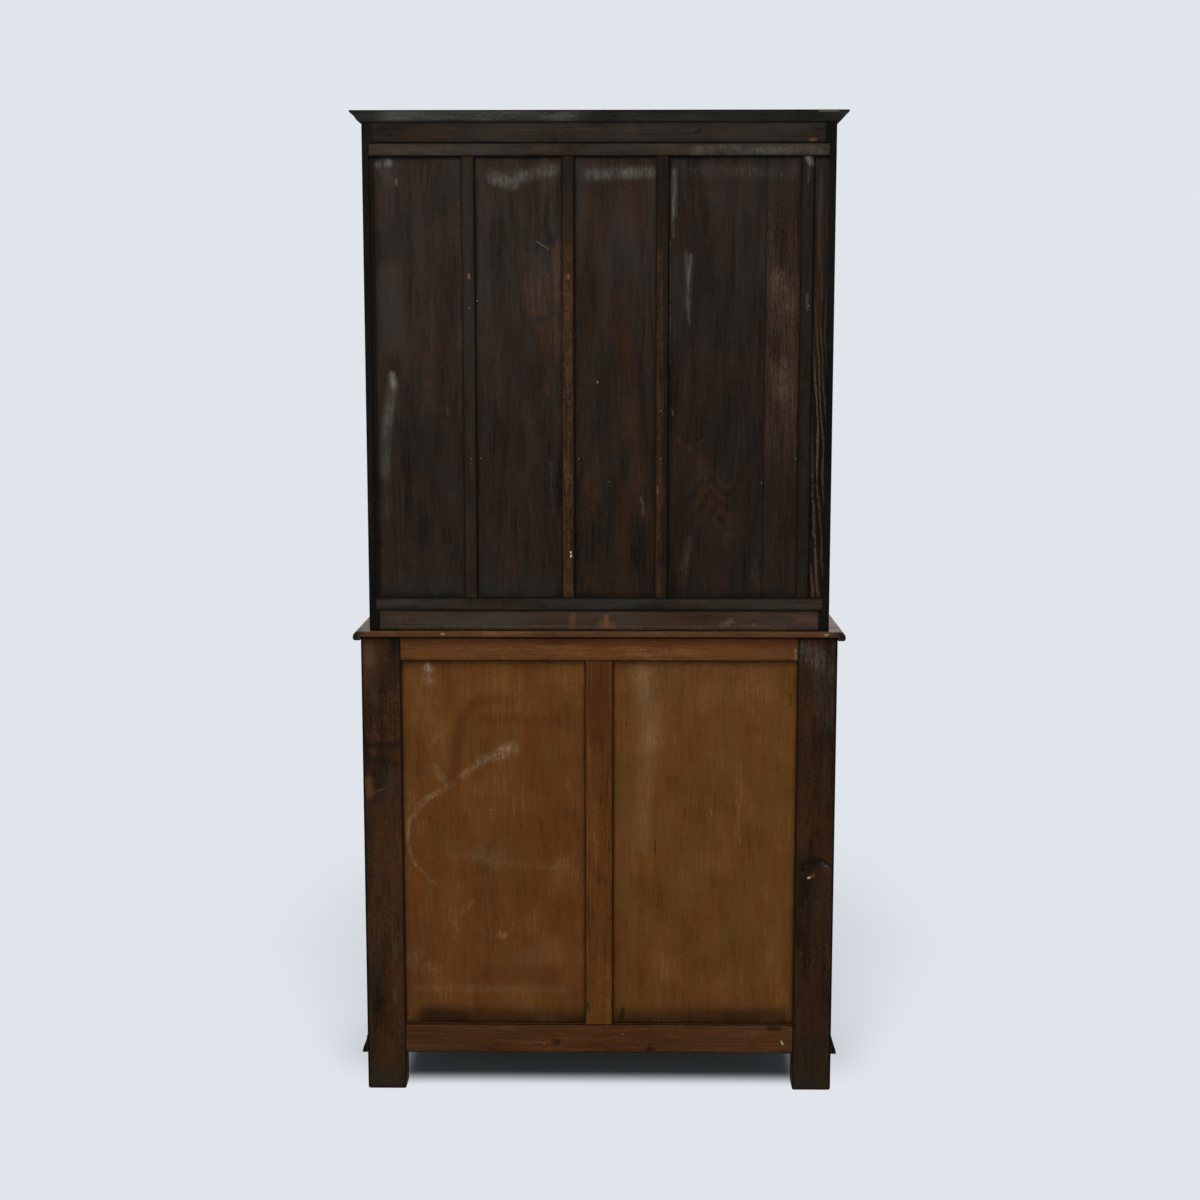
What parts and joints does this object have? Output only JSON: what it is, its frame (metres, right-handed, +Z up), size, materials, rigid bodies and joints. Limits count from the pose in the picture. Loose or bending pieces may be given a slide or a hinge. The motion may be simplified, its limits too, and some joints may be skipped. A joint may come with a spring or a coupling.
{
  "type": "dresser",
  "caption": "Tall wooden dresser: an open plate rack with a framed back, standing on a base with drawers over hinged panelled doors.",
  "frame": {"origin": "on the floor, under the middle of the dresser's outer box", "axes": "+Z up, +Y towards the framed back, +X to the right of someone facing the front"},
  "size_m": [0.947, 0.472, 1.9],
  "materials": {
    "rack_dark_oak": "old near-black stain, worn brown in places",
    "post_oak": "dark brown stain, low sheen",
    "rail_pine": "thin red-brown stain over plain softwood",
    "panel_ply": "thin brown stain over fine vertical grain",
    "top_oak": "worn brown polish",
    "drawer_pine": "bare softwood, darkened with age",
    "brass": "dull tarnished brass"
  },
  "bodies": {
    "carcase": {"base_top": "top_oak", "front_post_left": "post_oak", "front_post_right": "post_oak", "rear_post_left": "post_oak", "rear_post_right": "post_oak", "back_top_rail": "rail_pine", "back_bottom_rail": "rail_pine", "back_muntin": "rail_pine", "back_panel_left": "panel_ply", "back_panel_right": "panel_ply", "side_top_rail_left": "post_oak", "side_top_rail_right": "post_oak", "side_bottom_rail_left": "post_oak", "side_bottom_rail_right": "post_oak", "side_panel_left": "post_oak", "side_panel_right": "post_oak", "front_top_rail": "post_oak", "front_bottom_rail": "post_oak", "drawer_deck": "post_oak", "cupboard_floor": "drawer_pine", "base_moulding": "post_oak", "rack_side_left": "rack_dark_oak", "rack_side_right": "rack_dark_oak", "cornice_board": "rack_dark_oak", "frieze_rail": "rack_dark_oak", "rack_rear_top_rail": "rack_dark_oak", "rack_rear_bottom_rail": "rack_dark_oak", "back_frame_top_rail": "rack_dark_oak", "back_frame_bottom_rail": "rack_dark_oak", "rack_muntin_1": "rack_dark_oak", "rack_muntin_2": "rack_dark_oak", "rack_muntin_3": "rack_dark_oak", "rack_muntin_4": "rack_dark_oak", "rack_panel_1": "rack_dark_oak", "rack_panel_2": "rack_dark_oak", "rack_panel_3": "rack_dark_oak", "rack_panel_4": "rack_dark_oak", "rack_panel_5": "rack_dark_oak", "rack_shelf_lower": "rack_dark_oak", "rack_shelf_upper": "rack_dark_oak", "hinge_post_leaf_left_lower": "brass", "hinge_post_leaf_left_upper": "brass", "hinge_post_leaf_right_lower": "brass", "hinge_post_leaf_right_upper": "brass"},
    "drawer_left": {"drawer_front_left": "post_oak", "drawer_box_left": "drawer_pine", "drawer_knob_left": "post_oak"},
    "drawer_right": {"drawer_front_right": "post_oak", "drawer_box_right": "drawer_pine", "drawer_knob_right": "post_oak"},
    "door_left": {"door_frame_left": "post_oak", "door_panel_left": "post_oak", "door_knob_left": "post_oak", "hinge_door_leaf_left_lower": "brass", "hinge_door_leaf_left_upper": "brass"},
    "door_right": {"door_frame_right": "post_oak", "door_panel_right": "post_oak", "door_knob_right": "post_oak", "hinge_door_leaf_right_lower": "brass", "hinge_door_leaf_right_upper": "brass"}
  },
  "joints": [
    {"name": "drawer_left_slide", "type": "slide", "parent": "carcase", "child": "drawer_left", "axis": [0, -1, 0], "range_m": [0, 0.26]},
    {"name": "drawer_right_slide", "type": "slide", "parent": "carcase", "child": "drawer_right", "axis": [0, -1, 0], "range_m": [0, 0.26]},
    {"name": "door_left_hinge", "type": "hinge", "parent": "carcase", "child": "door_left", "pos_m": [-0.38225, -0.2065, 0.4356], "axis": [0, 0, -1], "range_deg": [0, 170]},
    {"name": "door_right_hinge", "type": "hinge", "parent": "carcase", "child": "door_right", "pos_m": [0.38225, -0.2065, 0.4356], "axis": [0, 0, 1], "range_deg": [0, 170]}
  ]
}
